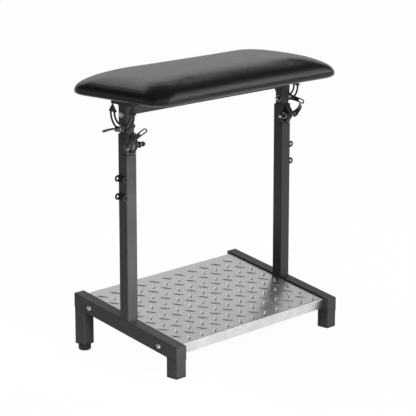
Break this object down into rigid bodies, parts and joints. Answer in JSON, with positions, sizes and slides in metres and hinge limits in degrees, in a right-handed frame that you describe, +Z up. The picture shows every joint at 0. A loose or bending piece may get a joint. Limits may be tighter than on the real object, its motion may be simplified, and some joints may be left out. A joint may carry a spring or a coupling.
{
  "type": "tattoo armrest",
  "caption": "Armrest stand with an inclined tread-plate footrest between two welded side frames and a padded board that slides up and tilts on slotted quadrants",
  "frame": {"origin": "on the floor, under the middle of the outline with the left tilt lever open as pictured; the frame itself is centred 14.95 mm to the +X side of it", "axes": "+X runs along the pad to the right as seen from the user, +Y away from the user, +Z up"},
  "size_m": [0.724, 0.366, 0.7445],
  "materials": {
    "painted_steel": "dark grey powder coat, semi-gloss",
    "zinc_steel": "bright zinc plate",
    "black_steel": "black oxide, satin",
    "tread_sheet": "mill finish with raised lozenges",
    "black_plastic": "black moulded plastic",
    "plywood": "raw birch plywood",
    "leatherette": "black grained leatherette over foam"
  },
  "bodies": {
    "base": {"tread_plate": "tread_sheet", "left_side_rail": "painted_steel", "left_front_leg": "painted_steel", "left_rear_leg": "painted_steel", "left_front_leg_cap": "black_plastic", "left_rear_leg_insert": "black_plastic", "left_outer_post": "painted_steel", "left_upper_eyelet_bracket": "painted_steel", "left_lower_eyelet_bracket": "painted_steel", "left_front_frame_bolt": "zinc_steel", "left_rear_frame_bolt": "zinc_steel", "left_post_clamp_bolt": "zinc_steel", "left_post_clamp_washer": "zinc_steel", "left_post_clamp_spacer": "black_steel", "left_post_clamp_barrel": "black_steel", "left_post_clamp_nut": "black_steel", "right_side_rail": "painted_steel", "right_front_leg": "painted_steel", "right_rear_leg": "painted_steel", "right_front_leg_cap": "black_plastic", "right_rear_leg_insert": "black_plastic", "right_outer_post": "painted_steel", "right_upper_eyelet_bracket": "painted_steel", "right_lower_eyelet_bracket": "painted_steel", "right_front_frame_bolt": "zinc_steel", "right_rear_frame_bolt": "zinc_steel", "right_post_clamp_bolt": "zinc_steel", "right_post_clamp_washer": "zinc_steel", "right_post_clamp_spacer": "black_steel", "right_post_clamp_barrel": "black_steel", "right_post_clamp_nut": "black_steel"},
    "lift": {"crossbar": "painted_steel", "left_inner_tube": "painted_steel", "left_tube_guide": "black_plastic", "left_pivot_bolt": "zinc_steel", "left_tilt_clamp_bolt": "zinc_steel", "left_tilt_clamp_washer": "zinc_steel", "left_tilt_clamp_barrel": "black_steel", "left_tilt_clamp_nut": "black_steel", "right_inner_tube": "painted_steel", "right_tube_guide": "black_plastic", "right_pivot_bolt": "zinc_steel", "right_tilt_clamp_bolt": "zinc_steel", "right_tilt_clamp_washer": "zinc_steel", "right_tilt_clamp_barrel": "black_steel", "right_tilt_clamp_nut": "black_steel"},
    "pad": {"pad_cushion": "leatherette", "pad_board": "plywood", "left_quadrant_plate": "painted_steel", "right_quadrant_plate": "painted_steel"},
    "left_foot": {"left_levelling_foot": "black_plastic"},
    "left_post_lever": {"left_post_clamp_lever": "black_steel", "left_post_lever_pin": "zinc_steel"},
    "left_tilt_lever": {"left_tilt_clamp_lever": "black_steel", "left_tilt_lever_pin": "zinc_steel"},
    "right_foot": {"right_levelling_foot": "black_plastic"},
    "right_post_lever": {"right_post_clamp_lever": "black_steel", "right_post_lever_pin": "zinc_steel"},
    "right_tilt_lever": {"right_tilt_clamp_lever": "black_steel", "right_tilt_lever_pin": "zinc_steel"}
  },
  "joints": [
    {"name": "height_slide", "type": "slide", "parent": "base", "child": "lift", "axis": [0, 0, 1], "range_m": [0, 0.25]},
    {"name": "pad_tilt", "type": "hinge", "parent": "lift", "child": "pad", "pos_m": [0.01495, 0, 0.643], "axis": [1, 0, 0], "range_deg": [-30, 30]},
    {"name": "left_foot_screw", "type": "slide", "parent": "base", "child": "left_foot", "axis": [0, 0, -1], "range_m": [0, 0.012]},
    {"name": "right_foot_screw", "type": "slide", "parent": "base", "child": "right_foot", "axis": [0, 0, -1], "range_m": [0, 0.012]},
    {"name": "left_post_lever_cam", "type": "hinge", "parent": "base", "child": "left_post_lever", "pos_m": [-0.30615, -0.0235, 0.5655], "axis": [0, -0.766, -0.6428], "range_deg": [0, 120]},
    {"name": "right_post_lever_cam", "type": "hinge", "parent": "base", "child": "right_post_lever", "pos_m": [0.33605, -0.0235, 0.5655], "axis": [0, 0.6018, 0.7986], "range_deg": [0, 120]},
    {"name": "left_tilt_lever_cam", "type": "hinge", "parent": "lift", "child": "left_tilt_lever", "pos_m": [-0.30945, 0, 0.609], "axis": [0, 1, 0], "range_deg": [-90, 0]},
    {"name": "right_tilt_lever_cam", "type": "hinge", "parent": "lift", "child": "right_tilt_lever", "pos_m": [0.33935, 0, 0.609], "axis": [0, -0.1908, 0.9816], "range_deg": [0, 90]}
  ]
}
